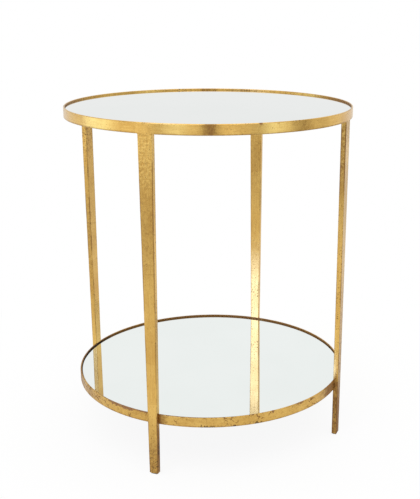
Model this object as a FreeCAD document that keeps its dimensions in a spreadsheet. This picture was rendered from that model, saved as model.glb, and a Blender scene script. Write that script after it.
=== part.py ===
import FreeCAD, Part
import math
import os

import Sketcher

# Round two-tier side table: two hoops of flat bar on four tapered flat-bar legs, each hoop holding a mirror.
# Millimetres, +Z up. The origin is on the floor under the centre, and the legs stand on the diagonals.

SIZES = {
    # the whole table: outside of the top hoop, and the rim of each tier above the floor
    "table_diameter": 560,
    "table_height": 660,
    "shelf_height": 121,
    # flat bar that both hoops are rolled from, on edge
    "bar_height": 19.5,
    "bar_thickness": 3.2,
    "bar_arris": 0.6,
    # flat ring welded inside the foot of each hoop, which carries the board and the mirror
    "ledge_width": 12.7,
    "ledge_thickness": 3.2,
    # soft round pads between the ledge and the board
    "pad_diameter": 9,
    "pad_thickness": 2,
    # backing board and mirror, with the room left round each
    "board_thickness": 6,
    "board_gap": 1,
    "mirror_thickness": 4.8,
    "mirror_gap": 0.8,
    "mirror_arris": 0.5,
    # legs of flat bar, which taper in width only, and the notch in each that holds the shelf hoop
    "leg_thickness": 10,
    "leg_top_width": 27.5,
    "leg_foot_width": 15,
    "leg_edge_radius": 0.8,
    "notch_depth": 2.5,
    # fillet welds: the size of their two equal sides, and the run of those behind a leg
    "weld_size": 3,
    "weld_length": 12,
    # glides under the feet
    "glide_thickness": 2,
    "glide_inset": 1,
    "glide_corner_radius": 1.5,
}

PADS_PER_TIER = 8
LEGS = ("front_left", "front_right", "back_right", "back_left")
FULL_TURN = 360
FIRST_LEG_ANGLE = 225
LEG_STEP_ANGLE = FULL_TURN / len(LEGS)

# Places that several pieces share, as expressions in those sizes
TOP_RADIUS = "Sizes.table_diameter / 2"
TOP_RIM = "Sizes.table_height"
LEG_INSIDE = "(Sizes.table_diameter / 2 - Sizes.leg_thickness)"
SHELF_RADIUS = f"({LEG_INSIDE} + Sizes.notch_depth)"
SHELF_RIM = "Sizes.shelf_height"
SHELF_FOOT = f"({SHELF_RIM} - Sizes.bar_height)"
LEG_TOP = "(Sizes.table_height - Sizes.bar_height)"
LEG_TAPER = f"((Sizes.leg_top_width - Sizes.leg_foot_width) / 2 / ({LEG_TOP} - Sizes.glide_thickness))"

# How a sketch numbers its own origin, the two ends of a line and the centre of a circle
SKETCH_ORIGIN = -1
START, END, CENTRE = 1, 2, 3

# The property that holds the size of each way to ease an edge
EASING_SIZE = {"Fillet": "Radius", "Chamfer": "Size"}


def make_sheet(doc):
    """The sheet of driving sizes, one row each: name, then value."""
    sheet = doc.addObject("Spreadsheet::Sheet", "Sizes")
    for row, (name, value) in enumerate(SIZES.items(), 1):
        sheet.set(f"A{row}", name)
        sheet.set(f"B{row}", str(value))
        sheet.setAlias(f"B{row}", name)
    doc.recompute()


def origin_feature(body, role):
    """The origin plane or axis of a body that has this role."""
    return next(feature for feature in body.Origin.OriginFeatures if feature.Role == role)


def new_sketch(body, name, plane):
    """An empty sketch on one of the body's own origin planes."""
    sketch = body.newObject("Sketcher::SketchObject", name)
    sketch.AttachmentSupport = [(origin_feature(body, plane), "")]
    sketch.MapMode = "FlatFace"
    return sketch


def hold(sketch, kind, item, point, value, expression):
    """Hold a point of a sketched item at a distance from the sketch's origin, bound to an expression."""
    constraint = Sketcher.Constraint(kind, SKETCH_ORIGIN, START, item, point, value)
    name = f"{kind}_{item}"
    sketch.renameConstraint(sketch.addConstraint(constraint), name)
    sketch.setExpression(f"Constraints.{name}", expression)


def add_outline(sketch, corners):
    """Straight sides through corners, each a pair of expressions. They start as a regular unit polygon."""
    first = sketch.GeometryCount
    count = len(corners)
    turns = [2 * math.pi * i / count for i in range(count)]
    points = [FreeCAD.Vector(math.cos(turn), math.sin(turn), 0) for turn in turns]
    for start, end in zip(points, points[1:] + points[:1]):
        sketch.addGeometry(Part.LineSegment(start, end))
    for i in range(count):
        following = first + (i + 1) % count
        sketch.addConstraint(Sketcher.Constraint("Coincident", first + i, END, following, START))
    for i, (across, up) in enumerate(corners):
        hold(sketch, "DistanceX", first + i, START, points[i].x, across)
        hold(sketch, "DistanceY", first + i, START, points[i].y, up)


def pad(body, sketch, length):
    """Extrude a sketch along its normal."""
    block = body.newObject("PartDesign::Pad", f"{body.Name}_block")
    block.Profile = sketch
    block.setExpression("Length", length)
    return block


def ease_edges(body, kind, chosen, size):
    """Fillet or chamfer those edges of the body's last feature that the test picks."""
    body.Document.recompute()
    base = body.Tip
    names = [f"Edge{i}" for i, edge in enumerate(base.Shape.Edges, 1) if chosen(edge)]
    easing = body.newObject(f"PartDesign::{kind}", f"{body.Name}_easing")
    easing.Base = (base, names)
    easing.setExpression(EASING_SIZE[kind], size)


def is_circle(edge):
    return isinstance(edge.Curve, Part.Circle)


def is_upper_circle(edge):
    return is_circle(edge) and edge.Curve.Center.z > 0


def is_upright(edge):
    """True for the long edges of a leg or the standing edges of a glide: they climb more than they lean."""
    box = edge.BoundBox
    return box.ZLength > max(box.XLength, box.YLength)


def repeat_round_axis(body, features, count):
    """Repeat features evenly round the table's axis."""
    body.Document.recompute()
    pattern = body.newObject("PartDesign::PolarPattern", f"{body.Name}_round")
    pattern.Originals = features
    pattern.Axis = (origin_feature(body, "Z_Axis"), [""])
    pattern.Angle = FULL_TURN
    pattern.Occurrences = count
    body.Tip = pattern


def make_ring(doc, label, inside, outside, height, foot):
    """Ring turned about the table's axis from a rectangle that stands on its foot."""
    body = doc.addObject("PartDesign::Body", label)
    section = new_sketch(body, f"{label}_section", "XZ_Plane")
    add_outline(section, [(inside, "0"), (outside, "0"), (outside, height), (inside, height)])
    ring = body.newObject("PartDesign::Revolution", f"{label}_ring")
    ring.Profile = section
    ring.ReferenceAxis = (section, ["V_Axis"])
    ring.Angle = FULL_TURN
    body.setExpression("Placement.Base.z", foot)
    return body


def make_hoop(doc, label, inside, outside, foot):
    """Hoop of flat bar on edge, with its two upper edges eased."""
    body = make_ring(doc, label, inside, outside, "Sizes.bar_height", foot)
    ease_edges(body, "Chamfer", is_upper_circle, "Sizes.bar_arris")
    return body


def make_seat_pads(doc, label, hoop_inside, foot):
    """Soft pads spaced round the middle of the ledge."""
    body = doc.addObject("PartDesign::Body", label)
    outline = new_sketch(body, f"{label}_outline", "XY_Plane")
    centre = FreeCAD.Vector(1, 0, 0)
    circle = outline.addGeometry(Part.Circle(centre, FreeCAD.Vector(0, 0, 1), 1))
    hold(outline, "DistanceX", circle, CENTRE, centre.x, f"{hoop_inside} - Sizes.ledge_width / 2")
    hold(outline, "DistanceY", circle, CENTRE, centre.y, "0")
    outline.renameConstraint(outline.addConstraint(Sketcher.Constraint("Diameter", circle, 2)), "across")
    outline.setExpression("Constraints.across", "Sizes.pad_diameter")
    repeat_round_axis(body, [pad(body, outline, "Sizes.pad_thickness")], PADS_PER_TIER)
    body.setExpression("Placement.Base.z", foot)
    return body


def make_board(doc, label, hoop_inside, foot):
    """Round backing board, loose inside the hoop."""
    board = doc.addObject("Part::Cylinder", label)
    board.setExpression("Radius", f"{hoop_inside} - Sizes.board_gap")
    board.setExpression("Height", "Sizes.board_thickness")
    board.setExpression("Placement.Base.z", foot)
    return board


def make_mirror(doc, label, hoop_inside, foot):
    """Round plate mirror whose two edges are ground to a small flat arris."""
    body = doc.addObject("PartDesign::Body", label)
    disc = body.newObject("PartDesign::AdditiveCylinder", f"{label}_disc")
    disc.setExpression("Radius", f"{hoop_inside} - Sizes.mirror_gap")
    disc.setExpression("Height", "Sizes.mirror_thickness")
    ease_edges(body, "Chamfer", is_circle, "Sizes.mirror_arris")
    body.setExpression("Placement.Base.z", foot)
    return body


def make_tier(doc, tier, outside, rim):
    """One tier from the hoop inwards: hoop, ledge, seat pads, board and mirror, stacked on the ledge."""
    inside = f"({outside} - Sizes.bar_thickness)"
    hoop_foot = f"{rim} - Sizes.bar_height"
    pads_foot = f"{hoop_foot} + Sizes.ledge_thickness"
    board_foot = f"{pads_foot} + Sizes.pad_thickness"
    mirror_foot = f"{board_foot} + Sizes.board_thickness"
    ledge_inside = f"{inside} - Sizes.ledge_width"
    return [
        make_hoop(doc, f"{tier}_hoop", inside, outside, hoop_foot),
        make_ring(doc, f"{tier}_ledge", ledge_inside, inside, "Sizes.ledge_thickness", hoop_foot),
        make_seat_pads(doc, f"{tier}_seat_pads", inside, pads_foot),
        make_board(doc, f"{tier}_board", inside, board_foot),
        make_mirror(doc, f"{tier}_mirror", inside, mirror_foot),
    ]


def turn_to_leg(body, number):
    """Turn a piece drawn along +X to stand at one of the legs."""
    angle = FIRST_LEG_ANGLE + number * LEG_STEP_ANGLE
    body.Placement.Rotation = FreeCAD.Rotation(FreeCAD.Vector(0, 0, 1), angle)


def make_leg(doc, label, number):
    """Upright flat bar, flush with the top hoop, narrowing to the foot and notched inside for the shelf hoop."""
    body = doc.addObject("PartDesign::Body", label)
    face = new_sketch(body, f"{label}_face", "YZ_Plane")
    face.setExpression("AttachmentOffset.Base.z", LEG_INSIDE)
    half_top = "Sizes.leg_top_width / 2"
    half_foot = "Sizes.leg_foot_width / 2"
    foot = "Sizes.glide_thickness"
    add_outline(
        face,
        [(f"-{half_foot}", foot), (half_foot, foot), (half_top, LEG_TOP), (f"-{half_top}", LEG_TOP)],
    )
    pad(body, face, "Sizes.leg_thickness")
    ease_edges(body, "Fillet", is_upright, "Sizes.leg_edge_radius")
    notch = body.newObject("PartDesign::SubtractiveCylinder", f"{label}_notch")
    notch.setExpression("Radius", SHELF_RADIUS)
    notch.setExpression("Height", "Sizes.bar_height")
    notch.setExpression("Placement.Base.z", SHELF_FOOT)
    turn_to_leg(body, number)
    return body


def make_glide(doc, label, number):
    """Thin plate under a foot, set in from the leg's edges."""
    body = doc.addObject("PartDesign::Body", label)
    outline = new_sketch(body, f"{label}_outline", "XY_Plane")
    near = f"{LEG_INSIDE} + Sizes.glide_inset"
    far = f"{TOP_RADIUS} - Sizes.glide_inset"
    half = "(Sizes.leg_foot_width / 2 - Sizes.glide_inset)"
    add_outline(outline, [(near, f"-{half}"), (far, f"-{half}"), (far, half), (near, half)])
    pad(body, outline, "Sizes.glide_thickness")
    ease_edges(body, "Fillet", is_upright, "Sizes.glide_corner_radius")
    turn_to_leg(body, number)
    return body


def make_side_welds(body):
    """Fillet welds between the two narrow sides of a leg and the underside of the hoop and ledge."""
    section = new_sketch(body, f"{body.Name}_side_section", "YZ_Plane")
    section.setExpression("AttachmentOffset.Base.z", f"{LEG_INSIDE} + Sizes.leg_edge_radius")
    side = "Sizes.leg_top_width / 2"
    toe = f"({side} + Sizes.weld_size)"
    low_side = f"({side} - {LEG_TAPER} * Sizes.weld_size)"
    low = f"{LEG_TOP} - Sizes.weld_size"
    add_outline(section, [(side, LEG_TOP), (low_side, low), (toe, LEG_TOP)])
    add_outline(section, [(f"-{side}", LEG_TOP), (f"-{toe}", LEG_TOP), (f"-{low_side}", low)])
    return pad(body, section, "Sizes.leg_thickness - 2 * Sizes.leg_edge_radius")


def make_inner_weld(body, height):
    """Fillet weld between the inner face of a leg and the underside of a tier at this height."""
    section = new_sketch(body, f"{body.Name}_inner_section", "XZ_Plane")
    toe = f"{LEG_INSIDE} - Sizes.weld_size"
    low = f"{height} - Sizes.weld_size"
    add_outline(section, [(LEG_INSIDE, height), (toe, height), (LEG_INSIDE, low)])
    weld = pad(body, section, "Sizes.weld_length")
    weld.Midplane = True
    return weld


def make_top_welds(doc, label):
    """Welds of all four legs under the top hoop: one each side of the leg and one behind it."""
    body = doc.addObject("PartDesign::Body", label)
    repeat_round_axis(body, [make_side_welds(body), make_inner_weld(body, LEG_TOP)], len(LEGS))
    turn_to_leg(body, 0)
    return body


def make_shelf_welds(doc, label):
    """Welds of all four legs under the shelf hoop, where they don't show from above."""
    body = doc.addObject("PartDesign::Body", label)
    repeat_round_axis(body, [make_inner_weld(body, SHELF_FOOT)], len(LEGS))
    turn_to_leg(body, 0)
    return body


def make_table(doc):
    """All the table's pieces, from the top down to the feet."""
    pieces = make_tier(doc, "top", TOP_RADIUS, TOP_RIM)
    pieces += make_tier(doc, "shelf", SHELF_RADIUS, SHELF_RIM)
    for number, corner in enumerate(LEGS):
        pieces.append(make_leg(doc, f"{corner}_leg", number))
        pieces.append(make_glide(doc, f"{corner}_glide", number))
    pieces.append(make_top_welds(doc, "top_welds"))
    pieces.append(make_shelf_welds(doc, "shelf_welds"))
    return pieces


def check(doc, pieces):
    """Stop if any feature failed or any piece has no sound shape."""
    failed = [item.Label for item in doc.Objects if {"Invalid", "Error"} & set(item.State)]
    failed += [piece.Label for piece in pieces if piece.Shape.isNull() or not piece.Shape.isValid()]
    if failed:
        raise RuntimeError("failed: " + ", ".join(failed))


def write(pieces):
    """One file for each piece, named by its label."""
    os.makedirs("parts", exist_ok=True)
    for piece in pieces:
        piece.Shape.exportStep(f"parts/{piece.Label}.step")
        print(piece.Label, len(piece.Shape.Solids), "solid(s)", round(piece.Shape.Volume), "mm3")


document = FreeCAD.newDocument("side_table")
make_sheet(document)
table = make_table(document)
document.recompute()
check(document, table)
write(table)
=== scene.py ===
# %% [markdown]
# # A gilt side table with two mirrors
# The table is two iron hoops on four tapered legs, covered in gold leaf that was rubbed back to look old.
# Each hoop holds a round mirror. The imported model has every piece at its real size, so it is loaded first and
# stays where it is. This lesson adds the look: softened edges, leaf, wear, glass and light.

# %% Load the frame
import math
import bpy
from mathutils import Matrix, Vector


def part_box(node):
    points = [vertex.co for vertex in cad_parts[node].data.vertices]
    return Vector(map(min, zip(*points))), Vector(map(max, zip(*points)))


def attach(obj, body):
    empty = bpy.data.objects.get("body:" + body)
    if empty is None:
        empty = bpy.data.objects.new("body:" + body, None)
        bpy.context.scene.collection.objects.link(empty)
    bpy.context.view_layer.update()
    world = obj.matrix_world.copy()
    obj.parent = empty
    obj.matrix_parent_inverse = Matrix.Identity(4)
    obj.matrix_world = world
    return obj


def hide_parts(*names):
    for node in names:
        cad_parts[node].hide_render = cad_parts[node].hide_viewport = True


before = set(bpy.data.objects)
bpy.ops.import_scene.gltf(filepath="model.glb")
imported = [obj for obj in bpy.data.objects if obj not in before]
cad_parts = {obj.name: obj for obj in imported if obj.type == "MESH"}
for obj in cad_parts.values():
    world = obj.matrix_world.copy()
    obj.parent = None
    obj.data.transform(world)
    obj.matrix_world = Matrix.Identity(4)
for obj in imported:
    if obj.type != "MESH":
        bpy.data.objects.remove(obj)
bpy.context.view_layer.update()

from types import SimpleNamespace

import bpy
import numpy as np
from mathutils import Matrix, Vector

# %% [markdown]
# ## Sizes
# A helper reads a node's points as one array, and the sizes that the new pieces need are taken from the
# frame: the hoops from their boxes, and a leg from its own directions, outwards and across.

# %% Read the sizes from the frame
MM = 0.001
TIERS = ("top", "shelf")
LEG_ANGLES = {"front_left": 225, "front_right": 315, "back_right": 45, "back_left": 135}


def node_points(node):
    """All points of a node as an array of shape (count, 3)."""
    points = np.empty(3 * len(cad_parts[node].data.vertices))
    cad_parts[node].data.vertices.foreach_get("co", points)
    return points.reshape(-1, 3)


def leg_axes(angle):
    """Unit vectors outwards and across for a leg that stands at this angle."""
    turn = math.radians(angle)
    return np.array([math.cos(turn), math.sin(turn), 0]), np.array([-math.sin(turn), math.cos(turn), 0])


def measure_leg(node, angle):
    """Inner and outer distance, foot and top height, and half the width at the foot and at the top."""
    points = node_points(node)
    outwards, across = leg_axes(angle)
    reach, height, side = points @ outwards, points[:, 2], np.abs(points @ across)
    middle = (height.min() + height.max()) / 2
    return {
        "inside": reach.min(), "outside": reach.max(),
        "foot": height.min(), "top": height.max(),
        "half_foot": side[height < middle].max(), "half_top": side[height > middle].max(),
    }


def measure_ring(node):
    """Outer radius, foot and top of a ring or disc; the radius is the least of its reaches along x and y."""
    low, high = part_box(node)
    return min(high.x, high.y, -low.x, -low.y), low.z, high.z


leg = measure_leg("front_right_leg", LEG_ANGLES["front_right"])
hoop_inside = {tier: measure_ring(f"{tier}_ledge")[0] for tier in TIERS}
ledge_inside = {tier: np.linalg.norm(node_points(f"{tier}_ledge")[:, :2], axis=1).min() for tier in TIERS}
weld_size = leg["top"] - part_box("top_welds")[0].z
print("leg:", {name: round(float(size) / MM, 2) for name, size in leg.items()})
print("weld:", round(weld_size / MM, 2))

# %% [markdown]
# ## The camera
# The camera stands in front of the table and a little to its left, at about waist height, and looks slightly
# down. Its place was worked out from the rims and legs in the photograph. The picture is a crop of a wider
# one, so the lens is shifted sideways a little instead of being turned, which keeps the legs as upright as
# they are there.

# %% Place the camera
PICTURE_WIDTH, PICTURE_HEIGHT = 420, 499
CAMERA_AZIMUTH = math.radians(-22.124)
CAMERA_DISTANCE = 1.7598
CAMERA_HEIGHT = 0.8735
CAMERA_PITCH, CAMERA_YAW, CAMERA_ROLL = 0.2824, 0.0454, 0.0049
FOCAL_PIXELS = 894.67
AXIS_PIXEL_X = 249.23
SENSOR = 36.0


def camera_matrix():
    """Place and turn of the camera: columns right, up and back, then a turn about the table's axis."""
    sin_p, cos_p = math.sin(CAMERA_PITCH), math.cos(CAMERA_PITCH)
    sin_y, cos_y = math.sin(CAMERA_YAW), math.cos(CAMERA_YAW)
    forward = Vector((sin_y * cos_p, cos_y * cos_p, -sin_p))
    level_right = Vector((cos_y, -sin_y, 0))
    level_up = Vector((sin_y * sin_p, cos_y * sin_p, cos_p))
    right = math.cos(CAMERA_ROLL) * level_right + math.sin(CAMERA_ROLL) * level_up
    up = math.cos(CAMERA_ROLL) * level_up - math.sin(CAMERA_ROLL) * level_right
    turned = Matrix((right, up, -forward)).transposed().to_4x4()
    turned.translation = (0, -CAMERA_DISTANCE, CAMERA_HEIGHT)
    return Matrix.Rotation(CAMERA_AZIMUTH, 4, "Z") @ turned


lens = bpy.data.cameras.new("photo_camera")
lens.sensor_width = SENSOR
lens.lens = FOCAL_PIXELS * SENSOR / PICTURE_HEIGHT
lens.shift_x = (PICTURE_WIDTH / 2 - AXIS_PIXEL_X) / PICTURE_HEIGHT
camera = bpy.data.objects.new("photo_camera", lens)
camera.matrix_world = camera_matrix()
bpy.context.scene.collection.objects.link(camera)
bpy.context.scene.camera = camera
print("lens:", round(lens.lens, 1), "mm, shift:", round(lens.shift_x, 4))

# %% [markdown]
# ## From arrays to meshes
# Every bar here is a section carried along a path: round a circle for a hoop, down a line for a leg. That is
# a grid of points with a row for each step of the path. The helpers join it into quads and close it, end to
# end or with two caps. They also keep what the gold leaf needs to know about each point: how far along and
# round the bar it lies, as a UV map in metres, and up to seven numbers. These say how far off the nearest
# edge is, how much brown glaze and painted shade lie there, how worn, mottled, chipped and cracked the leaf
# is, and whether glaze lines the edges. A number that a piece doesn't keep counts as nothing.

# %% Turn a grid of points into a piece
SMOOTH_ANGLE = math.radians(30)


def add_piece(name, points, faces, replaced):
    """A mesh object from points and faces that rides on the table and stands for the replaced nodes."""
    mesh = bpy.data.meshes.new(name)
    mesh.from_pydata(points, [], faces)
    mesh.polygons.foreach_set("use_smooth", np.ones(len(mesh.polygons), dtype=bool))
    mesh.set_sharp_from_angle(angle=SMOOTH_ANGLE)
    piece = bpy.data.objects.new(name, mesh)
    bpy.context.scene.collection.objects.link(piece)
    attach(piece, "root")
    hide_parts(*replaced)
    print(name, len(mesh.polygons), "faces")
    return piece


def grid_faces(rows, columns, endless=False):
    """Rows, columns and point numbers of the quads' corners, in a grid whose columns close."""
    row, column = np.meshgrid(np.arange(rows if endless else rows - 1), np.arange(columns), indexing="ij")
    row = np.stack([row, row + 1, row + 1, row], axis=-1).reshape(-1, 4)
    column = np.stack([column, column, column + 1, column + 1], axis=-1).reshape(-1, 4)
    return row, column, (row % rows) * columns + column % columns


def end_caps(rows, columns):
    """Point numbers of the two faces that close the first and last rows of a grid."""
    first = np.arange(columns)
    return [first.tolist(), (first[::-1] + (rows - 1) * columns).tolist()]


def add_values(piece, name, values):
    """Keep one number for each point of a piece, under a name that a material can look up."""
    attribute = piece.data.attributes.new(name, "FLOAT", "POINT")
    attribute.data.foreach_set("value", np.ascontiguousarray(values, dtype=np.float32).ravel())


def add_bar(name, points, along, around, finish, replaced, endless=False):
    """A bar from a grid of shape (rows, columns, 3), with its end rows capped unless it is endless.

    along and around are lengths, with one more value than there are steps where a turn closes.
    """
    rows, columns = points.shape[:2]
    row, column, quads = grid_faces(rows, columns, endless)
    caps = [] if endless else end_caps(rows, columns)
    piece = add_piece(name, points.reshape(-1, 3), quads.tolist() + caps, replaced)
    cap_uv = np.zeros((sum(len(cap) for cap in caps), 2))
    uv = np.vstack([np.stack([along[row], around[column]], axis=-1).reshape(-1, 2), cap_uv])
    piece.data.uv_layers.new(name="leaf").data.foreach_set("uv", uv.ravel())
    for value_name, values in finish.items():
        add_values(piece, value_name, np.broadcast_to(values, (rows, columns)))
    return piece


# %% [markdown]
# ## The section of a flat bar
# Rolled bar has no sharp edges, and a bevel modifier could soften them, but then the distance from the edge
# would be lost. A rounded rectangle can instead be written in one line: each point is a share of the inner
# rectangle plus the edge radius times the direction in which the surface faces. The shares and directions
# are worked out once, and the same line serves bars of every size.

# %% Write the outline of a bar
CORNER_STEPS = 6
SIDE_STEPS = 7


def bar_outline():
    """Shares of the inner rectangle and facing directions, anticlockwise: an arc, a side, and so on.

    Corner k has shares (+-1, +-1) and faces from k to k + 1 quarter turns. The side after it runs on to the
    next corner's shares, with points that crowd towards its ends.
    """
    corner = np.arange(4)[:, None]
    quarter = math.pi / 2
    arc_turn = (corner + np.linspace(0, 1, CORNER_STEPS)) * quarter
    side_turn = np.repeat((corner + 1) * quarter, SIDE_STEPS, axis=1)
    turn = np.hstack([arc_turn, side_turn]).ravel()
    step = np.arange(1, SIDE_STEPS + 1) / (SIDE_STEPS + 1)
    crowded = (1 - np.cos(math.pi * step)) / 2
    here = math.sqrt(2) * np.exp(1j * (corner + 0.5) * quarter)
    following = here * 1j
    arcs, sides = np.repeat(here, CORNER_STEPS, axis=1), here + (following - here) * crowded
    shares = np.hstack([arcs, sides]).ravel()
    return np.stack([shares.real, shares.imag], axis=-1), np.stack([np.cos(turn), np.sin(turn)], axis=-1)


SHARES, FACING = bar_outline()


def bar_section(half, radius):
    """Outline of a bar: shares times the inner rectangle, plus the edge radius times the facing direction."""
    return SHARES * (half - radius) + FACING * radius


def edge_distance(half, radius):
    """Distance of each outline point from the nearest rounded edge: none on it, growing along the sides."""
    return ((1 - np.abs(SHARES)) * (half - radius)).max(axis=-1)


def outline_length(outline):
    """Length along a closed outline at each of its points, and once more at its end."""
    steps = np.linalg.norm(np.diff(outline, axis=0, append=outline[:1]), axis=-1)
    return np.concatenate([[0], np.cumsum(steps)])


print("outline:", len(SHARES), "points")

# %% [markdown]
# ## Hoops and ledges
# A smith rolls the flat bar on edge, welds its ends and grinds the weld away. The hoop could be a curve with
# a bevel, but rolled bar is never quite true, so the ring is worked out as a surface: the section goes round
# the axis, while a few slow waves draw its radius in by a fraction of a millimetre. They never push it out,
# so the hoop stays inside its real size. The ledge under the mirror is such a ring without the waves.

# %% Roll a ring
RING_STEPS = 720
LEDGE_EDGE = 0.4 * MM
WAVES_ROUND = (3, 8, 17, 29)


def waviness(turn, phase):
    """Slow waves round a ring, between 0 and 1: the mean of sines that no one can see repeat."""
    waves = sum(np.sin(count * turn + phase * (count + 1)) for count in WAVES_ROUND)
    return 0.5 + waves / (2 * len(WAVES_ROUND))


def add_ring(tier, kind, inside, radius, wave, finish):
    """A ring: radius = middle + section across - wave, height = middle + section up, round a full turn.

    radius is that of the edges: one number, or a grid with a value for each step and each outline point.
    """
    outside, foot, top = measure_ring(f"{tier}_{kind}")
    half = np.array([outside - inside, top - foot]) / 2
    section = bar_section(half, np.asarray(radius)[..., None])
    full_turn = np.linspace(0, 2 * math.pi, RING_STEPS + 1)
    turn = full_turn[:-1, None]
    reach = (inside + outside) / 2 + section[..., 0] - wave * waviness(turn, outside / half[1])
    height = np.broadcast_to((foot + top) / 2 + section[..., 1], reach.shape)
    points = np.stack([reach * np.cos(turn), reach * np.sin(turn), height], axis=-1)
    lengths = full_turn * outside, outline_length(bar_section(half, LEDGE_EDGE))
    finish = {"from_edge": edge_distance(half, LEDGE_EDGE), **finish}
    return add_bar(f"{tier}_gilt_{kind}", points, *lengths, finish, [f"{tier}_{kind}"], endless=True)


# %% [markdown]
# The finish of a hoop isn't even either. Its inner wall is darker all round, most of all on the shelf, and
# painted shade darkens it further towards its ends. Painted shade also runs along the lower edge and along
# parts of the shelf's upper edge. In places round the outside, brown glaze and painted shade darken the leaf:
# on the shelf beside the legs and at its ends it is painted shade, and the dark patch at the front of the top
# hoop is a painted reflection. Here and there the leaf on the upper edge is rubbed through to the red-brown
# clay under it, or the lower edge is chipped, in a strip that is a few millimetres deep. Each such place is an
# angle, a spread and an amount, and a soft bell fades it out on both sides. The shelf is also cracked, and
# the top hardly at all.

# %% Say where the hoops are old and where shade is painted
# partly glaze, partly painted light: a painted reflection at the top hoop's front, painted shade on the shelf
# by the legs and ends
# degrees to the right of the side that faces the camera, spread in degrees, and amount
GLAZE_AND_SHADE_PLACES = {
    "top": [(-78, 11, 0.3), (0.3, 2.6, 0.7), (36, 4, 0.3), (78, 11, 0.25)],
    "shelf": [
        (-113, 6, 0.9), (-80, 15, 0.8), (-62, 9, 0.5), (-21.5, 4, 0.85),
        (53, 4, 0.42), (59, 6, 0.95), (69, 9, 1.0), (78, 7, 0.92), (157, 6, 0.9),
    ],
}
# painted shade on the inner walls, darkest towards their ends and at the top hoop's far side
INNER_SHADE_PLACES = {
    "top": [(-92, 26, 0.5), (96, 28, 0.6), (164, 9, 0.35), (180, 5, 0.35)],
    "shelf": [(-98, 24, 0.5), (104, 12, 0.2)],
}
# painted shade along the shelf's upper edge, at the front, the left and the far side
RIM_SHADE_PLACES = {"top": [], "shelf": [(-22, 34, 0.95), (-102, 24, 1.15), (180, 75, 0.8)]}
CHIPPED_PLACES = {
    "top": [(64, 2, 0.5)],
    "shelf": [(-1.5, 6, 1.05), (8.8, 1.2, 1.1), (18.5, 2.2, 1.1)],
}
WORN_PLACES = {
    "top": [(18, 1.2, 0.62), (25, 0.7, 0.62)],
    "shelf": [(-43, 5, 0.8), (-36, 5, 0.95), (-27, 7, 0.62), (25, 1.0, 0.66), (37.5, 3, 0.66)],
}


def bell(turn, places, spread):
    """A soft bell about each of some places round a ring, in radians: 1 there, almost 0 a few spreads off."""
    away = np.angle(np.exp(1j * (turn[..., None] - np.atleast_1d(places))))
    return np.exp(-((away / spread) ** 2)).max(axis=-1)


def bells(turn, places):
    """The largest at each step of several bells, each given by its angle, spread and amount."""
    front = CAMERA_AZIMUTH - math.pi / 2
    each = [amount * bell(turn, front + math.radians(at), math.radians(wide)) for at, wide, amount in places]
    return np.max(each, axis=0, initial=0.0)


# %% [markdown]
# Where the top hoop is welded to a leg, the weld has been filled and ground flush, so its lower edge is sharp
# there and carries no painted shade. On both hoops the upper edge is rounder than the lower one.

# %% Make the hoops and ledges
ROLLING_WAVE = 0.22 * MM
UPPER_EDGE, LOWER_EDGE = 1.4 * MM, 0.7 * MM
FLUSH_SPREAD_SHARE, FLUSH_SHARPNESS = 1.1, 0.95
MOTTLING = {"top": 0.5, "shelf": 0.7}
CRAZING = {"top": 0.15, "shelf": 1.0}
EVEN_GLAZE = {"top": 0.0, "shelf": 0.17}
# the inner walls are darker all round, most of all on the shelf
INNER_DARKENING = {"top": 0.24, "shelf": 0.97}
LEDGE_GLAZE = 0.5
# painted shade along the lower edge of the hoops, none over the legs
LOW_EDGE_SHADE, LOW_EDGE_DEPTH = 0.55, 2.4 * MM
WORN_DEPTH, CHIPPED_DEPTH = 8 * MM, 7 * MM


def over_legs(tier, turn):
    """1 where the top hoop stands over the middle of a leg, and 0 away from the legs and on the shelf."""
    spread = FLUSH_SPREAD_SHARE * leg["half_top"] / hoop_inside["top"]
    return bell(turn, np.radians(list(LEG_ANGLES.values())), spread) * (tier == "top")


def age_hoop(tier, turn):
    """The numbers that a hoop keeps at each step and outline point: bells round it times depths across it."""
    low, high = measure_ring(f"{tier}_hoop")[1:]
    above_foot, below_rim = ((high - low) / 2 * (1 + way * SHARES[:, 1]) for way in (1, -1))
    # painted shade along the lower edge
    low_edge_shade = LOW_EDGE_SHADE * np.clip(1 - above_foot / LOW_EDGE_DEPTH, 0, 1) * (1 - over_legs(tier, turn))
    # inner wall darker all round, with painted shade towards its ends
    inside = INNER_DARKENING[tier] + bells(turn, INNER_SHADE_PLACES[tier])
    inner_wall_darkening = inside * np.clip(-FACING[:, 0], 0, 1)
    # painted shade along the shelf's upper edge
    rim = bells(turn, RIM_SHADE_PLACES[tier]) * np.clip(FACING[:, 1], 0, 1)
    glaze = np.maximum(np.maximum(bells(turn, GLAZE_AND_SHADE_PLACES[tier]), inner_wall_darkening), np.maximum(low_edge_shade, rim))
    off_inner_wall = FACING[:, 0] > -0.5
    near_rim = np.clip(1 - below_rim / WORN_DEPTH, 0, 1) * off_inner_wall
    near_foot = np.clip(1 - above_foot / CHIPPED_DEPTH, 0, 1)
    return {
        "glaze": np.maximum(glaze, EVEN_GLAZE[tier]), "mottling": MOTTLING[tier], "crazing": CRAZING[tier],
        "wear": bells(turn, WORN_PLACES[tier]) * near_rim,
        "chipped": bells(turn, CHIPPED_PLACES[tier]) * near_foot,
    }


def hoop_edges(tier, turn):
    """Edge radius of a hoop, from lower to upper edge. The top hoop's lower edge is sharp over each leg."""
    lower = LOWER_EDGE * (1 - FLUSH_SHARPNESS * over_legs(tier, turn))
    return UPPER_EDGE + (lower - UPPER_EDGE) * (1 - SHARES[:, 1]) / 2


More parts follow.
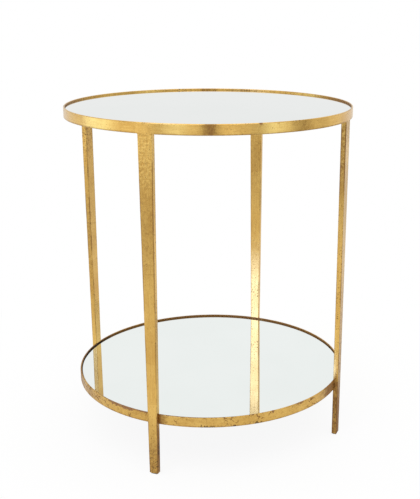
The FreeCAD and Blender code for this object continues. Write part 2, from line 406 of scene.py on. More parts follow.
steps_round = np.linspace(0, 2 * math.pi, RING_STEPS, endpoint=False)[:, None]
hoops, ledges = {}, {}
for tier in TIERS:
    edges, aged = hoop_edges(tier, steps_round), age_hoop(tier, steps_round)
    hoops[tier] = add_ring(tier, "hoop", hoop_inside[tier], edges, ROLLING_WAVE, aged)
    plain = {"glaze": LEDGE_GLAZE, "mottling": MOTTLING[tier]}
    ledges[tier] = add_ring(tier, "ledge", ledge_inside[tier], LEDGE_EDGE, 0, plain)

# %% [markdown]
# ## Legs
# Each leg is a flat bar cut to a long taper: its wide face looks outwards and narrows evenly to the foot,
# while its thickness stays. Painted shade darkens each leg towards the foot, and broad bands of painted
# shade and painted reflection differ from face to face. Some faces are also peppered with small chips. The
# tone is more mottled near the top, where the bar was hammered, and at the foot. The bands and chips are soft
# bells of height on faces that look one way.

# %% Say where the legs are old and where shade is painted
OUTER, INNER, RIGHT, LEFT = (1, 0), (-1, 0), (0, 1), (0, -1)
# painted shade and painted reflection: faces darker where they would mirror shade under the shelf, and at the
# notch
# a face as seen from outside, then the height, spread and amount of each band
SHADE_AND_REFLECTION_BANDS = {
    "front_left": [
        (OUTER, 0.47, 0.15, 0.37), (RIGHT, 0.06, 0.055, 0.75),
        (RIGHT, 0.61, 0.05, 0.25), (RIGHT, 0.31, 0.06, 0.3),
    ],
    "front_right": [
        (LEFT, 0.58, 0.13, 0.45), (OUTER, 0.08, 0.36, 0.58), (OUTER, 0.63, 0.03, 0.35),
        (LEFT, 0.08, 0.03, 0.5), (LEFT, 0.113, 0.012, 0.6), (LEFT, 0.0, 0.03, 0.25),
    ],
    "back_right": [(INNER, 0.49, 0.14, 0.32), (OUTER, 0.5, 0.1, 0.2)],
    "back_left": [(RIGHT, 0.37, 0.16, 0.44), (INNER, 0.59, 0.05, 0.3), (INNER, 0.40, 0.14, 0.3)],
}
PEPPER = {
    "front_left": [(OUTER, 0.0, 0.07, 0.45), (RIGHT, 0.35, 0.2, 0.2)],
    "front_right": [(LEFT, 0.33, 0.2, 0.3), (LEFT, 0.05, 0.06, 0.35)],
    "back_right": [(INNER, 0.2, 0.07, 0.25), (OUTER, 0.3, 0.2, 0.2)],
    "back_left": [(RIGHT, 0.58, 0.06, 0.35), (INNER, 0.58, 0.06, 0.35)],
}
LEG_MOTTLING = 0.3
# height, spread and amount
MORE_MOTTLING = [(0.59, 0.05, 0.45), (0.0, 0.09, 0.35)]
# painted shade: the legs darken towards the floor
FOOT_SHADE, FOOT_SHADE_HEIGHT, FOOT_SHADE_FADE = 0.48, 0.125, 0.075


def bell_up(height, middle, spread, amount):
    """A soft bell of height, as a column with a row for each step of the leg."""
    return amount * np.exp(-(((height - middle) / spread) ** 2))[:, None]


def banded(bands, height):
    """Bells of height, each on the outline points that face one way, added up at each height and point."""
    return sum(bell_up(height, *band) * np.clip(FACING @ face, 0, 1) for face, *band in bands)


def age_leg(corner, height):
    """The numbers that a leg keeps at each height and outline point: bells up it, and a ramp at its foot."""
    # painted shade towards the foot, plus bands of painted shade and painted reflection
    foot_shade = FOOT_SHADE * np.clip((FOOT_SHADE_HEIGHT - height) / FOOT_SHADE_FADE, 0, 1)[:, None]
    return {
        "edge_glaze": 1.0,
        "mottling": LEG_MOTTLING + sum(bell_up(height, *place) for place in MORE_MOTTLING),
        "glaze": foot_shade + banded(SHADE_AND_REFLECTION_BANDS[corner], height),
        "chipped": banded(PEPPER[corner], height),
    }


# %% [markdown]
# The section of a leg is the same rounded rectangle as a hoop's, with half its width a straight-line function
# of height. A tapered cube with a bevel would do for the shape, but hand filing leaves the edges a little
# uneven, and here the edge radius can wander along the leg. A notch in the inner face holds the shelf hoop.

# %% Draw out the legs
LEG_STEPS = 200
LEG_EDGE = 0.9 * MM
EDGE_WANDER = 0.25 * MM
FILE_WAVES = (23.0, 57.0, 131.0)
HAIR = 0.01 * MM
notch_reach, notch_foot, notch_top = measure_ring("shelf_hoop")


def add_leg(corner):
    """A leg: half width grows in a straight line from foot to top, and the section goes from the top down.

    At the notch, no point lies nearer to the table's axis than the outside of the shelf hoop.
    """
    outwards, across = leg_axes(LEG_ANGLES[corner])
    ends = [notch_top + HAIR, notch_top, notch_foot, notch_foot - HAIR]
    height = np.sort(np.concatenate([np.linspace(leg["top"], leg["foot"], LEG_STEPS), ends]))[::-1]
    share = (height - leg["foot"]) / (leg["top"] - leg["foot"])
    half_width = leg["half_foot"] + (leg["half_top"] - leg["half_foot"]) * share
    half_depth = np.full(len(height), (leg["outside"] - leg["inside"]) / 2)
    half = np.stack([half_depth, half_width], axis=-1)[:, None, :]
    filing = sum(np.sin(wave * height + LEG_ANGLES[corner] * wave) for wave in FILE_WAVES) / len(FILE_WAVES)
    radius = (LEG_EDGE + EDGE_WANDER * filing)[:, None, None]
    section = bar_section(half, radius)
    reach = (leg["inside"] + leg["outside"]) / 2 + section[..., 0]
    notched = ((height <= notch_top) & (height >= notch_foot))[:, None]
    reach = np.where(notched, np.maximum(reach, notch_reach), reach)
    points = reach[..., None] * outwards + section[..., 1, None] * across
    points[..., 2] = height[:, None]
    lengths = leg["top"] - height, outline_length(section[0])
    finish = {"from_edge": edge_distance(half, radius), **age_leg(corner, height)}
    return add_bar(f"{corner}_gilt_leg", points, *lengths, finish, [f"{corner}_leg"])


legs = {corner: add_leg(corner) for corner in LEG_ANGLES}

# %% [markdown]
# ## Welds
# A leg is welded to the hoop and ledge above it, and the weld is ground to a small hollow in the corner. A
# bevel can't make it, because the pieces are separate. So the bead is a hollow quarter-round carried along a
# path, with the ripples that a welder's hand leaves.

# %% Carry a bead along a path
BEAD_STEPS = 10
BEAD_RIPPLE = 0.07
RIPPLE_PITCH = 2.4 * MM
BEAD_SINK = 0.15 * MM
BEAD_GLAZE = 0.1


def bead_section():
    """Outline of a bead as shares of its size, outwards and down: the corner, then a hollow quarter-round."""
    turn = np.linspace(0, math.pi / 2, BEAD_STEPS)
    hollow = np.stack([1 - np.cos(turn), 1 - np.sin(turn)], axis=-1)
    return np.vstack([[0, 0], hollow])[::-1]


def add_beads(name, path, facing, height, replaced):
    """Four beads, one at each leg: each point is a path point plus the bead's shares times its rippled size.

    path and facing hold distances outwards and across. The beads are sunk a little so that no gap shows.
    """
    length = np.concatenate([[0], np.cumsum(np.linalg.norm(np.diff(path, axis=0), axis=-1))])
    size = weld_size * (1 + BEAD_RIPPLE * (np.sin(2 * math.pi * length / RIPPLE_PITCH) - 1))
    section = bead_section()
    flat = path[:, None] + facing[:, None] * (section[:, :1] * size[:, None, None] - BEAD_SINK)
    down = section[:, 1] * size[:, None]
    rows, columns = down.shape
    quads, caps = grid_faces(rows, columns)[2], end_caps(rows, columns)
    points, faces = [], []
    for angle in LEG_ANGLES.values():
        outwards, across = leg_axes(angle)
        bead = flat[..., :1] * outwards + flat[..., 1:] * across
        bead[..., 2] = height + BEAD_SINK - down
        start = sum(len(part) for part in points)
        faces += (quads + start).tolist() + [[start + corner for corner in cap] for cap in caps]
        points.append(bead.reshape(-1, 3))
    beads = add_piece(name, np.vstack(points), faces, replaced)
    kept = {"from_edge": weld_size, "glaze": BEAD_GLAZE, "mottling": MOTTLING["top"]}
    for value_name, value in kept.items():
        add_values(beads, value_name, np.full(len(beads.data.vertices), value))
    return beads


# %% [markdown]
# At the top the path is the leg's own outline, from one narrow side round the back to the other. The outer
# side has none, because there the leg is flush with the hoop. The shelf needs only a short straight bead
# under it, behind each leg.

# %% Lay the weld beads
SHELF_BEAD_STEPS = 12


def top_bead_path():
    """The leg's outline at its top, from one narrow side round the back to the other."""
    half = np.array([(leg["outside"] - leg["inside"]) / 2, leg["half_top"]])
    outline = bar_section(half, LEG_EDGE) + [(leg["inside"] + leg["outside"]) / 2, 0]
    kept = (outline[:, 0] < leg["outside"] - LEG_EDGE) | (np.abs(FACING[:, 1]) == 1)
    kept &= FACING[:, 0] < 0.5
    return outline[kept], FACING[kept]


def shelf_bead_path():
    """A straight run across the inner face of the leg, as long as the weld in the frame."""
    outwards, across = leg_axes(LEG_ANGLES["front_right"])
    points = node_points("shelf_welds")
    half_run = np.abs((points @ across)[points @ outwards > 0]).min()
    run = np.linspace(half_run, -half_run, SHELF_BEAD_STEPS)
    path = np.stack([np.full(SHELF_BEAD_STEPS, leg["inside"]), run], axis=-1)
    return path, np.tile([-1.0, 0.0], (SHELF_BEAD_STEPS, 1))


top_beads = add_beads("top_weld_beads", *top_bead_path(), leg["top"], ["top_welds"])
shelf_beads = add_beads("shelf_weld_beads", *shelf_bead_path(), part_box("shelf_hoop")[0].z, ["shelf_welds"])

# %% [markdown]
# ## Mirrors
# Each mirror is a round plate with small flats ground on its edges. A bevelled cylinder comes near it, but
# a disc turned from a profile is exact: the profile runs from the centre of the face out over the two flats
# and back under the plate. Each end of it is one point on the axis, and a fan of triangles closes it.

# %% Turn the mirrors
MIRROR_STEPS = 360
MIRROR_RINGS = 9
ARRIS = 0.5 * MM


def add_mirror(tier):
    """A plate: radius times (cos, sin) of the turn, with radius and height from a profile from the centre."""
    radius, foot, top = measure_ring(f"{tier}_mirror")
    face = np.linspace(0, radius - ARRIS, MIRROR_RINGS)[1:]
    reach = np.concatenate([face, [radius, radius], face[::-1]])
    height = np.concatenate([np.full(len(face), top), [top - ARRIS, foot + ARRIS], np.full(len(face), foot)])
    turn = np.linspace(0, 2 * math.pi, MIRROR_STEPS, endpoint=False)
    upright = np.repeat(height[:, None], MIRROR_STEPS, axis=1)
    rim = np.stack([np.outer(reach, np.cos(turn)), np.outer(reach, np.sin(turn)), upright], axis=-1)
    points = np.vstack([rim.reshape(-1, 3), [[0, 0, top], [0, 0, foot]]])
    quads = grid_faces(len(reach), MIRROR_STEPS)[2]
    here = np.arange(MIRROR_STEPS)
    following = (here + 1) % MIRROR_STEPS
    last_row = (len(reach) - 1) * MIRROR_STEPS
    centre = np.full(MIRROR_STEPS, len(points) - 2)
    upper_fan = np.stack([here, following, centre], axis=-1)
    lower_fan = np.stack([following + last_row, here + last_row, centre + 1], axis=-1)
    faces = quads.tolist() + upper_fan.tolist() + lower_fan.tolist()
    return add_piece(f"{tier}_mirror_plate", points, faces, [f"{tier}_mirror"])


mirrors = [add_mirror(tier) for tier in TIERS]

# %% [markdown]
# ## Finishes as sums
# A finish is a recipe of values that change over the surface. Wiring its nodes by hand hides the recipe, so
# a small class stands for one output of a node, and + - * / on it write the Math nodes. One more method adds
# any other node, and a few short ones name what the recipes use most.

# %% Write shader maths as Python
class Field:
    """A value or colour that changes over a surface: one output socket in a node tree."""

    def __init__(self, tree, socket=None):
        self.tree = tree
        self.socket = socket

    def node(self, kind, settings=None, sockets=None, output=0):
        """Add a node, set its settings, fill its sockets with values or links, and give one output."""
        made = self.tree.nodes.new(kind)
        for name, value in (settings or {}).items():
            setattr(made, name, value)
        for key, value in (sockets or {}).items():
            if isinstance(value, Field):
                self.tree.links.new(value.socket, made.inputs[key])
            else:
                made.inputs[key].default_value = value
        return Field(self.tree, made.outputs[output] if len(made.outputs) else None)

    def math(self, operation, first, second=0.0):
        return self.node("ShaderNodeMath", {"operation": operation}, {0: first, 1: second})

    def vector(self, operation, *operands, output=0):
        """Vector maths on some vectors; a length or a dot product comes out as Value."""
        sockets = dict(enumerate(operands))
        return self.node("ShaderNodeVectorMath", {"operation": operation}, sockets, output)

    def __add__(self, other):
        return self.math("ADD", self, other)

    def __sub__(self, other):
        return self.math("SUBTRACT", self, other)

    def __rsub__(self, other):
        return self.math("SUBTRACT", other, self)

    def __mul__(self, other):
        return self.math("MULTIPLY", self, other)

    def __truediv__(self, other):
        return self.math("DIVIDE", self, other)

    __radd__ = __add__
    __rmul__ = __mul__

    def swing(self, amount):
        """A noise between 0 and 1 turned into one about nothing, this much from end to end."""
        return (self - 0.5) * amount

    def step(self, low, high, low_value=0.0, high_value=1.0):
        """A soft step: low_value below low, high_value above high, and a smooth rise between them."""
        ends = {0: self, 1: low, 2: high, 3: low_value, 4: high_value}
        return self.node("ShaderNodeMapRange", {"interpolation_type": "SMOOTHSTEP"}, ends)

    def mix(self, none, full):
        """A colour between two colours, by this value."""
        sockets = {0: self, 6: none, 7: full}
        return self.node("ShaderNodeMix", {"data_type": "RGBA", "clamp_factor": True}, sockets, output=2)

    def noise(self, scale, detail=2.0, roughness=0.5, **more):
        """Cloudy noise between 0 and 1 on this vector; scale is in clouds per metre."""
        sockets = {"Vector": self, "Scale": scale, "Detail": detail, "Roughness": roughness, **more}
        return self.node("ShaderNodeTexNoise", {}, sockets)

    def patches(self, noise, fade):
        """Patches with soft rims on this vector: a noise past a soft step."""
        return self.noise(*noise).step(*fade)


# %% [markdown]
# These helpers start a finish from an empty material, end it at the output and give it to its pieces.

# %% Start, show and wear a finish
def rgb(red, green, blue):
    """An opaque colour from linear light."""
    return (red, green, blue, 1.0)


def new_material(name):
    """An empty material, and a Field to build it with."""
    material = bpy.data.materials.new(name)
    material.use_nodes = True
    material.node_tree.nodes.clear()
    return material, Field(material.node_tree)


def principled(build, constants, changing):
    """A Principled shader from numbers that stay and fields that change."""
    return build.node("ShaderNodeBsdfPrincipled", {}, {**constants, **changing})


def show(build, shader):
    """Wire a shader to the output of its material."""
    build.node("ShaderNodeOutputMaterial", {}, {"Surface": shader})


def dress(material, *pieces):
    """Give pieces one material in place of any other, and print how many nodes it took."""
    for piece in pieces:
        piece.data.materials.clear()
        piece.data.materials.append(material)
    print(material.name, "on", len(pieces), "pieces,", len(material.node_tree.nodes), "nodes")


# %% [markdown]
# ## Gold leaf
# Leaf comes in thin squares that are laid side by side on a brown ground, rubbed back with a cloth and toned
# with brown glaze. A texture could be painted, but a recipe follows the bars by itself: the squares and
# streaks lie along the UV map, the wear, glaze and painted shade follow the numbers kept on the points, and
# the mottling lies in space. The recipe comes in short parts. The first reads what a point keeps and makes
# what the others share. Only the legs keep a number for glazed edges, so it also tells where hammer marks
# may be.

# %% Read what the bars keep
# the kept glaze number also carries painted shade and painted reflection
KEPT_NUMBERS = ("from_edge", "glaze", "wear", "mottling", "chipped", "crazing", "edge_glaze")
# clouds per metre, detail and roughness
CLOUDS = (19, 3, 0.55)
MOTTLE, MOTTLE_DISTORTION = (170, 5, 0.62), 0.5
GRAIN = (900, 3, 0.6)
DIMPLE = (230, 1)
STREAK = (1, 3, 0.6)
STREAKS_ALONG, STREAKS_ROUND = 22.0, 420.0
EDGE_FADE = (0.2 * MM, 1.4 * MM)
HAMMERED_HEIGHT = (0.5, 0.6)


def read_surface(build):
    """Where a point lies, in space and along its bar, the numbers that it keeps, and the shared noises."""
    place = build.node("ShaderNodeTexCoord", output="Object")
    leaf_map = build.node("ShaderNodeUVMap", {"uv_map": "leaf"})
    kept = {
        name: build.node("ShaderNodeAttribute", {"attribute_name": name}, output="Fac")
        for name in KEPT_NUMBERS
    }
    height = build.node("ShaderNodeSeparateXYZ", {}, {0: place}, output="Z")
    return SimpleNamespace(
        place=place,
        along=build.node("ShaderNodeSeparateXYZ", {}, {0: leaf_map}, output="X"),
        at_edge=kept["from_edge"].step(*EDGE_FADE, 1, 0),
        hammered=height.step(*HAMMERED_HEIGHT) * kept["edge_glaze"],
        clouds=place.noise(*CLOUDS),
        mottle=place.noise(*MOTTLE, Distortion=MOTTLE_DISTORTION),
        grain=place.noise(*GRAIN),
        dimple=place.noise(*DIMPLE),
        streak=build.vector("MULTIPLY", leaf_map, (STREAKS_ALONG, STREAKS_ROUND, 0)).noise(*STREAK),
        **kept,
    )


def swings(leaf, amounts):
    """Sum of some shared noises, each swinging about nothing by its own amount."""
    return sum(vars(leaf)[name].swing(amount) for name, amount in amounts.items())


# %% [markdown]
# Each square of leaf has a tone of its own, and the squares lap in ragged lines. The length along the bar,
# divided by the side of a square and shaken by the clouds, counts the squares. The whole part of that count
# picks a tone at random, and the rest says how near the lap is.

# %% Lay the squares
LEAF_SIDE, LEAF_SHAKE = 83 * MM, 0.35
LAP_FADE = (0.003, 0.016)
LAP_PATCHES = (90, 2), (0.45, 0.6)


def lay_squares(build, leaf):
    """Tone of each square, random from its number, and the laps: near whole counts, broken by a noise."""
    count = leaf.along / LEAF_SIDE + leaf.clouds.swing(LEAF_SHAKE)
    number = build.math("FLOOR", count)
    tone = build.node("ShaderNodeTexWhiteNoise", {"noise_dimensions": "1D"}, {"W": number})
    into = count - number
    lap = build.math("MINIMUM", into, 1 - into).step(*LAP_FADE, 1, 0)
    return tone, lap * leaf.place.patches(*LAP_PATCHES)


# %% [markdown]
# Old leaf cracks like dry paint. The lines between Voronoi cells give that, once a noise has bent them so
# that they don't look like a net. They show only in patches.

# %% Crack the leaf
CRACK_BEND, CRACK_BEND_REACH = {"Scale": 90, "Detail": 3}, 12 * MM
CRACK_CELLS, CRACK_FADE = 75, (0.0, 0.085)
CRACK_PATCHES = (31, 1), (0.48, 0.6)
CRACK_GAPS = (140, 1), (0.4, 0.55)


def crack_leaf(build, leaf):
    """Lines near the edges of bent Voronoi cells, times patches, the crazing that is kept, and gaps."""
    bend = build.node("ShaderNodeTexNoise", {}, {"Vector": leaf.place, **CRACK_BEND}, output="Color")
    bent = build.vector("MULTIPLY_ADD", bend, (CRACK_BEND_REACH,) * 3, leaf.place)
    cells = {"Vector": bent, "Scale": CRACK_CELLS}
    from_line = build.node("ShaderNodeTexVoronoi", {"feature": "DISTANCE_TO_EDGE"}, cells)
    cracked = leaf.place.patches(*CRACK_PATCHES) * leaf.crazing
    return from_line.step(*CRACK_FADE, 1, 0) * cracked * leaf.place.patches(*CRACK_GAPS)


# %% [markdown]
# In some places no leaf is left. Chips come off along the edges and where a piece is chipped, dark specks
# show in cloudy regions, and where the kept glaze and painted shade are thickest the dark ground shows, in
# part as painted shade. Elsewhere the cloth has rubbed through to the clay. All of them are noises past a
# soft step, so their rims stay crisp and ragged.

# %% Chip and rub the leaf
CHIP_SHAPE, CHIP_FADE, EDGE_CHIP_FADE = (330, 2, 0.6), (0.68, 0.73), (0.58, 0.64)
CHIP_RUNS, CHIPPED_GAIN = ((11, 1), (0.5, 0.6)), 0.3
SPECKS = (420, 3, 0.6), (0.66, 0.71)
SPECK_GAIN, SPECK_REGION_FADE = 0.25, (0.62, 0.78)
CHIP_COVER, SPECK_COVER = 0.8, 0.7
# dark ground where the kept glaze and painted shade are thickest, in part painted shade
UNGILT_AND_SHADE_SWING, UNGILT_AND_SHADE_FADE = 0.9, (1.1, 1.25)
RUB, RUB_FADE = {"streak": 1.0, "mottle": 1.5, "grain": 0.6}, (0.42, 0.58)


def bare_places(build, leaf):
    """Where no leaf is left: the most of chips, specks and dark ground under the thickest glaze and painted
    shade.
    """
    chip_shape = leaf.place.noise(*CHIP_SHAPE)
    edge_chips = leaf.at_edge * leaf.place.patches(*CHIP_RUNS) * chip_shape.step(*EDGE_CHIP_FADE)
    chips = build.math("MAXIMUM", edge_chips, (chip_shape + leaf.chipped * CHIPPED_GAIN).step(*CHIP_FADE))
    region = (leaf.clouds + leaf.mottling * SPECK_GAIN + leaf.glaze * SPECK_GAIN).step(*SPECK_REGION_FADE)
    specks = leaf.place.patches(*SPECKS) * region
    ungilt_and_shade = (leaf.glaze + leaf.mottle.swing(UNGILT_AND_SHADE_SWING)).step(*UNGILT_AND_SHADE_FADE)
    small = build.math("MAXIMUM", chips * CHIP_COVER, specks * SPECK_COVER)
    return build.math("MAXIMUM", small, ungilt_and_shade)


def rubbed_places(leaf):
    """Where the leaf is rubbed through: the wear that is kept, shaken by streaks, mottling and grain."""
    return (leaf.wear + swings(leaf, RUB)).step(*RUB_FADE)


# %% [markdown]
# Last of all a gilder brushes on thin brown glaze and wipes most of it off. It stays where the kept number
# says, which also holds painted shade and painted reflection, in the hollows of the mottling, in cracks and
# laps, and as broken lines along the edges of the legs.

# %% Wipe on the glaze
GLAZE_LEVEL = 1.25
POOL_FADE, POOL_GLAZE = (0.5, 0.75), 0.22
CRACK_GLAZE, LAP_GLAZE, EDGE_LINE_GLAZE = 0.9, 0.1, 0.36
EDGE_RUNS = (14, 2), (0.4, 0.6)
EDGE_STREAK_FADE = (0.25, 0.55)


def glaze_and_painted_shade(build, leaf, crack, lap):
    """How brown the leaf is, up to 1: kept glaze and painted shade, more in hollows, plus pools, cracks, laps
    and lines.
    """
    runs = leaf.place.patches(*EDGE_RUNS) * leaf.streak.step(*EDGE_STREAK_FADE)
    edge_line = leaf.at_edge * leaf.edge_glaze * runs
    pools = (1 - leaf.mottle).step(*POOL_FADE) * leaf.mottling * POOL_GLAZE
    # the kept glaze carries painted shade and painted reflection as well as glaze
    stain_and_shade = leaf.glaze * (GLAZE_LEVEL - leaf.mottle) + pools + crack * CRACK_GLAZE + lap * LAP_GLAZE
    return build.math("MINIMUM", stain_and_shade + edge_line * EDGE_LINE_GLAZE, 1.0)


# %% [markdown]
# The gold itself runs from a deep to a pale tone with the mottling, clouds, grain and streaks. Near their
# tops the legs were hammered, and the dimples are painted paler where they stand up, a painted highlight.
# The same values, in other shares, raise the surface by a fraction of a millimetre.

# %% Tone and hammer the gold
GOLD_PALE = rgb(0.83, 0.545, 0.155)
GOLD_DEEP = rgb(0.60, 0.340, 0.078)
TONE = {"clouds": 0.7, "grain": 0.2, "streak": 0.9}
MOTTLE_TONE, SQUARE_TONE, DIMPLE_HIGHLIGHT, DIMPLE_LEVEL = 0.75, 0.18, 1.6, 0.43
RELIEF = {"mottle": 0.5, "grain": 0.08, "clouds": 1.8, "streak": 0.3}
LAP_RELIEF, BARE_RELIEF, DIMPLE_RELIEF = 0.2, 0.5, 3.2
BUMP = {"Strength": 0.3, "Distance": 0.5 * MM}


def gold_tone(leaf, tone):
    """From deep to pale gold: half, plus swings of mottling, shared noises, the square's tone and dimple
    highlights.
    """
    spots = leaf.mottle.swing(MOTTLE_TONE) * leaf.mottling
    # painted highlight: the dimples are painted paler where they stand up
    dimple_highlights = (leaf.dimple - DIMPLE_LEVEL) * leaf.hammered * DIMPLE_HIGHLIGHT
    brightness = 0.5 + spots + dimple_highlights + swings(leaf, TONE) + tone.swing(SQUARE_TONE)
    return brightness.step(0.0, 1.0).mix(GOLD_DEEP, GOLD_PALE)


def leaf_relief(build, leaf, lap, bare):
    """Bumps: mottling, grain, clouds, streaks, laps and dimples stand up, and bare places lie lower."""
    noises = sum(vars(leaf)[name] * amount for name, amount in RELIEF.items())
    marks = lap * LAP_RELIEF - bare * BARE_RELIEF + leaf.dimple * leaf.hammered * DIMPLE_RELIEF
    return build.node("ShaderNodeBump", {}, {**BUMP, "Height": noises + marks})


# %% [markdown]
# The parts come together in two shaders. One is metal that browns with the glaze and painted shade under a
# thin coat of lacquer. The other is dull: brown wash where the glaze and painted shade are thick, clay where
# the leaf is rubbed through, and dark ground where it is gone. Metal under a brown tint alone would still
# mirror the room, so a Mix Shader goes over to the dull one instead.

# %% Mix the gilding
UMBER = rgb(0.150, 0.066, 0.018)
WASH = rgb(0.235, 0.108, 0.026)
CLAY = rgb(0.255, 0.125, 0.046)
GROUND = rgb(0.035, 0.018, 0.008)
LEAF_METAL = {"Metallic": 1.0, "Coat Roughness": 0.2, "Coat IOR": 1.5}
LEAF_ROUGHNESS, MOTTLED_ROUGHNESS, MOTTLE_ROUGHNESS, GLAZED_ROUGHNESS = 0.18, 0.06, 0.12, 0.15
LACQUER, LACQUER_LOSS = 0.12, 0.3
DULL_WASH = {"Specular IOR Level": 0.12, "Roughness": 0.6}
COVER_FADE, COVER_MOST = (0.18, 0.8), 0.93


def gilding():
    """Gold leaf whose tone, glaze and wear follow the numbers kept on each piece."""
    material, build = new_material("gold_leaf")
    leaf = read_surface(build)
    tone, lap = lay_squares(build, leaf)
    bare, rubbed = bare_places(build, leaf), rubbed_places(leaf)
    brown = glaze_and_painted_shade(build, leaf, crack_leaf(build, leaf), lap)
    normal = leaf_relief(build, leaf, lap, bare)
    roughness = LEAF_ROUGHNESS + leaf.mottling * MOTTLED_ROUGHNESS + leaf.mottle.swing(MOTTLE_ROUGHNESS)
    metal = principled(build, LEAF_METAL, {
        "Base Color": brown.mix(gold_tone(leaf, tone), UMBER),
        "Roughness": roughness + brown * GLAZED_ROUGHNESS,
        "Coat Weight": build.math("MAXIMUM", LACQUER - brown * LACQUER_LOSS, 0.0),
        "Normal": normal,
    })
    under = bare.mix(rubbed.mix(WASH, CLAY), GROUND)
    dull = principled(build, DULL_WASH, {"Base Color": under, "Normal": normal})
    worn = build.math("MAXIMUM", bare, rubbed)
    # the dull wash takes over where glaze and painted shade are thick
    covered = build.math("MAXIMUM", brown.step(*COVER_FADE) * COVER_MOST, worn)
    show(build, build.node("ShaderNodeMixShader", {}, {0: covered, 1: metal, 2: dull}))
    return material


dress(gilding(), *hoops.values(), *ledges.values(), *legs.values(), top_beads, shelf_beads)

# %% [markdown]
# ## Mirror glass
# Plate mirror gives back a little less light than falls on it, and slightly less red, which is why a white
# room looks cool in it. A glass plate over a silver face would be truer and much slower, so it is one smooth
# metal surface here. A perfectly even one would look drawn, so it clouds over by a hair in broad, soft
# patches.

# %% Silver the mirrors
SILVER = rgb(0.825, 0.860, 0.845)
SILVER_CLOUDED = rgb(0.812, 0.850, 0.833)
CLOUDING = (7, 2, 0.5), (0.35, 0.7)
SILVER_ROUGHNESS, CLOUDED_ROUGHNESS = 0.01, 0.012


def silvering():
    """Smooth metal with a cool tint, clouded over a little in broad patches."""
    material, build = new_material("mirror_silver")
    place = build.node("ShaderNodeTexCoord", output="Object")
    clouding = place.patches(*CLOUDING)
    show(build, principled(build, {"Metallic": 1.0}, {
        "Base Color": clouding.mix(SILVER, SILVER_CLOUDED),
        "Roughness": SILVER_ROUGHNESS + clouding * CLOUDED_ROUGHNESS,
    }))
    return material


dress(silvering(), *mirrors)

# %% [markdown]
# ## Board, pads and glides
# Under the mirrors are plain things: fibreboard painted dark, soft pads and hard glides. Their shapes are
# already right in the frame, so those nodes stay and only get a finish. One recipe serves all three.

# %% Finish the plain pieces
# ending of the nodes' names, darker and paler colour, clouds per metre, roughness and depth of the grain
PLAIN_FINISHES = {
    "board_paint": ("_board", rgb(0.030, 0.024, 0.019), rgb(0.062, 0.050, 0.040), 35, 0.45, 0.2 * MM),
    "pad_rubber": ("_pads", rgb(0.035, 0.034, 0.033), rgb(0.060, 0.058, 0.055), 300, 0.6, 0.1 * MM),
    "glide_plastic": ("_glide", rgb(0.020, 0.018, 0.017), rgb(0.038, 0.034, 0.031), 250, 0.4, 0.1 * MM),
}
PLAIN_CLOUDS, PLAIN_CLOUDS_FADE, PLAIN_CLOUDS_RELIEF = (4, 0.6), (0.3, 0.7), 0.5
PLAIN_GRAIN, PLAIN_GRAIN_FINER, PLAIN_GRAIN_ROUGHNESS = (3, 0.6), 12, 0.2
PLAIN_BUMP = 0.4


def mottled(name, low, high, scale, roughness, depth):
    """A dull finish: colour and roughness drift between two values in clouds, with a fine raised grain."""
    material, build = new_material(name)
    place = build.node("ShaderNodeTexCoord", output="Object")
    clouds = place.noise(scale, *PLAIN_CLOUDS)
    grain = place.noise(scale * PLAIN_GRAIN_FINER, *PLAIN_GRAIN)
    raised = {"Strength": PLAIN_BUMP, "Distance": depth, "Height": grain + clouds * PLAIN_CLOUDS_RELIEF}
    show(build, principled(build, {}, {
        "Base Color": clouds.step(*PLAIN_CLOUDS_FADE).mix(low, high),
        "Roughness": roughness + grain * PLAIN_GRAIN_ROUGHNESS,
        "Normal": build.node("ShaderNodeBump", {}, raised),
    }))
    return material


for finish, (ending, *look) in PLAIN_FINISHES.items():
    wearers = [piece for node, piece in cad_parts.items() if node.endswith(ending)]
    dress(mottled(finish, *look), *wearers)

# %% [markdown]
# ## Floor
# The table stands on a pale floor that runs out to white. A big plain floor would show a grey horizon, so
# away from the table it turns into even white, but only for rays that are seen: straight, in metal or
# through glass. Near the table most of the shadow is lifted in the same way, as on a lit sweep. The floor is
# open from below, so that the underside can be seen too.

# %% Lay the floor
FLOOR_RADIUS = 1.7
FLOOR_STEPS = 96
FLOOR_PALE = rgb(0.81, 0.795, 0.755)
SHADOW_LIFT = 0.91
SHADOW_NEAR, SHADOW_FAR = 0.25, 0.85


def add_floor():
    """A disc on the floor: one ring of points round the origin."""
    turn = np.linspace(0, 2 * math.pi, FLOOR_STEPS, endpoint=False)
    ring = np.stack([np.cos(turn), np.sin(turn), np.zeros(FLOOR_STEPS)], axis=-1) * FLOOR_RADIUS
    mesh = bpy.data.meshes.new("floor")
    mesh.from_pydata(ring, [], [list(range(FLOOR_STEPS))])
    floor = bpy.data.objects.new("floor", mesh)
    bpy.context.scene.collection.objects.link(floor)
    return floor


def floor_paint():
    """Pale paint that goes over to even white for seen rays, and wholly so away from the table."""
    material, build = new_material("floor_paint")
    place = build.node("ShaderNodeTexCoord", output="Object")
    camera_ray, glossy_ray, clear_ray = (
        build.node("ShaderNodeLightPath", output=output)
        for output in ("Is Camera Ray", "Is Glossy Ray", "Is Transmission Ray")
    )
    seen = build.math("MAXIMUM", camera_ray, build.math("MAXIMUM", glossy_ray, clear_ray))
    distance = build.vector("LENGTH", place, output="Value")
    share = seen * distance.step(SHADOW_NEAR, SHADOW_FAR, SHADOW_LIFT, 1.0)
    paint = build.node("ShaderNodeBsdfDiffuse", {}, {"Color": FLOOR_PALE})
    white = build.node("ShaderNodeEmission", {}, {"Strength": 1.0})
    surface = build.node("ShaderNodeMixShader", {}, {0: share, 1: paint, 2: white})
    below = build.node("ShaderNodeNewGeometry", output="Backfacing")
    nothing = build.node("ShaderNodeBsdfTransparent")
    show(build, build.node("ShaderNodeMixShader", {}, {0: below, 1: surface, 2: nothing}))
    return material


dress(floor_paint(), add_floor())

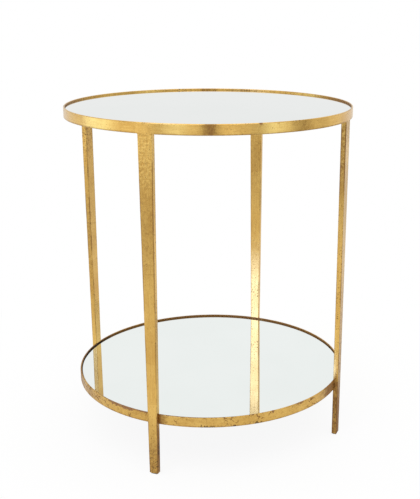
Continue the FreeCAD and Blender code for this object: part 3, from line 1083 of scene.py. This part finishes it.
# %% [markdown]
# ## Light
# A metal shows only what it reflects, so under an even white dome gold looks like flat paint. A studio has
# bright panels with gaps between them, and those make the slow changes of tone round the hoops. Lamps could
# stand for them, but a dome with panels painted on it gives soft edges and no noise. Each panel is a
# rectangle on the dome, counted from the camera's side, and adds its own colour. Some are brighter than the
# dome, and others, the gaps and the dark half of the room behind the camera, take light away.

# %% Set out the panels
COOL = (1.85, 2.5, 5.8)
PALE = (0.7, 1.15, 1.8)
NEUTRAL = (1.0, 1.0, 1.0)
DUSK = (0.98, 1.0, 1.02)
# azimuth from the camera, elevation, half width, half height and soft edge in degrees, strength and colour
PANELS = {
    "key_softbox": (-39, 24, 8.5, 10.5, 5, 0.95, COOL),
    "left_strip": (-95, -6, 12, 12, 8, 0.72, PALE),
    "left_wash": (-64, -6, 14, 12, 9, 0.2, NEUTRAL),
    "left_gap": (-40, -6, 2, 12, 6, -0.2, DUSK),
    "front_left_strip": (-26, -6, 3, 12, 7, 0.41, PALE),
    "front_strip": (3, -6, 12, 12, 7, 0.17, NEUTRAL),
    "camera_gap": (0, -9, 2, 6, 5, -0.65, NEUTRAL),
    "front_right_gap": (39, -6, 3, 12, 7, -0.27, DUSK),
    "right_strip": (52, -6, 4, 12, 8, 0.53, PALE),
    "right_gap": (75, -6, 4.5, 12, 8, -0.32, DUSK),
    "far_right_gap": (98, -6, 3, 12, 7, -0.2, DUSK),
    "room_behind_camera": (0, 25, 80, 8, 10, -0.45, DUSK),
    "floor_edge": (0, -15, 145, 3, 3, -0.22, DUSK),
    "low_backdrop": (180, 8.5, 60, 2.5, 5, -0.105, NEUTRAL),
    "front_overhead": (-10, 56, 60, 9, 10, 1.3, NEUTRAL),
    "overhead": (0, 90, 180, 25, 20, 0.5, NEUTRAL),
}


def panel_share(build, direction, azimuth, elevation, half_width, half_height, soft):
    """How much of a panel lies in a direction: a soft step on the angle round the dome times one up it."""
    turn = math.radians(azimuth) + CAMERA_AZIMUTH
    level = build.vector("NORMALIZE", build.vector("MULTIPLY", direction, (1, 1, 0)))
    towards = (math.sin(turn), -math.cos(turn), 0)
    near = build.vector("DOT_PRODUCT", level, towards, output="Value")
    core, edge = (math.cos(math.radians(min(180, angle))) for angle in (half_width, half_width + soft))
    across = near.step(edge, core) if half_width < 180 else 1.0
    rise = build.math("ARCSINE", build.node("ShaderNodeSeparateXYZ", {}, {0: direction}, output="Z"))
    away = build.math("ABSOLUTE", rise - math.radians(elevation))
    return away.step(math.radians(half_height), math.radians(half_height + soft), 1, 0) * across


# %% [markdown]
# The dome is the world's background. It starts white, and every panel adds its share times its strength and
# colour. Where gaps overlap the sum could fall below nothing, so it is kept a little above black.

# %% Light the studio
DARKEST = (0.1, 0.1, 0.1)


def light_dome():
    """White all round, plus the share of every panel times its strength and colour, and never quite black."""
    world = bpy.data.worlds.new("studio")
    world.use_nodes = True
    world.node_tree.nodes.clear()
    build = Field(world.node_tree)
    direction = build.node("ShaderNodeTexCoord", output="Generated")
    colour = NEUTRAL
    for *shape, strength, tint in PANELS.values():
        share = panel_share(build, direction, *shape)
        colour = build.vector("MULTIPLY_ADD", share, tuple(strength * part for part in tint), colour)
    lit = build.vector("MAXIMUM", colour, DARKEST)
    background = build.node("ShaderNodeBackground", {}, {"Color": lit, "Strength": 1.0})
    build.node("ShaderNodeOutputWorld", {}, {"Surface": background})
    return world


bpy.context.scene.world = light_dome()
bpy.context.scene.view_settings.view_transform = "Standard"
print("light:", len(PANELS), "panels on a white dome")

# %% [markdown]
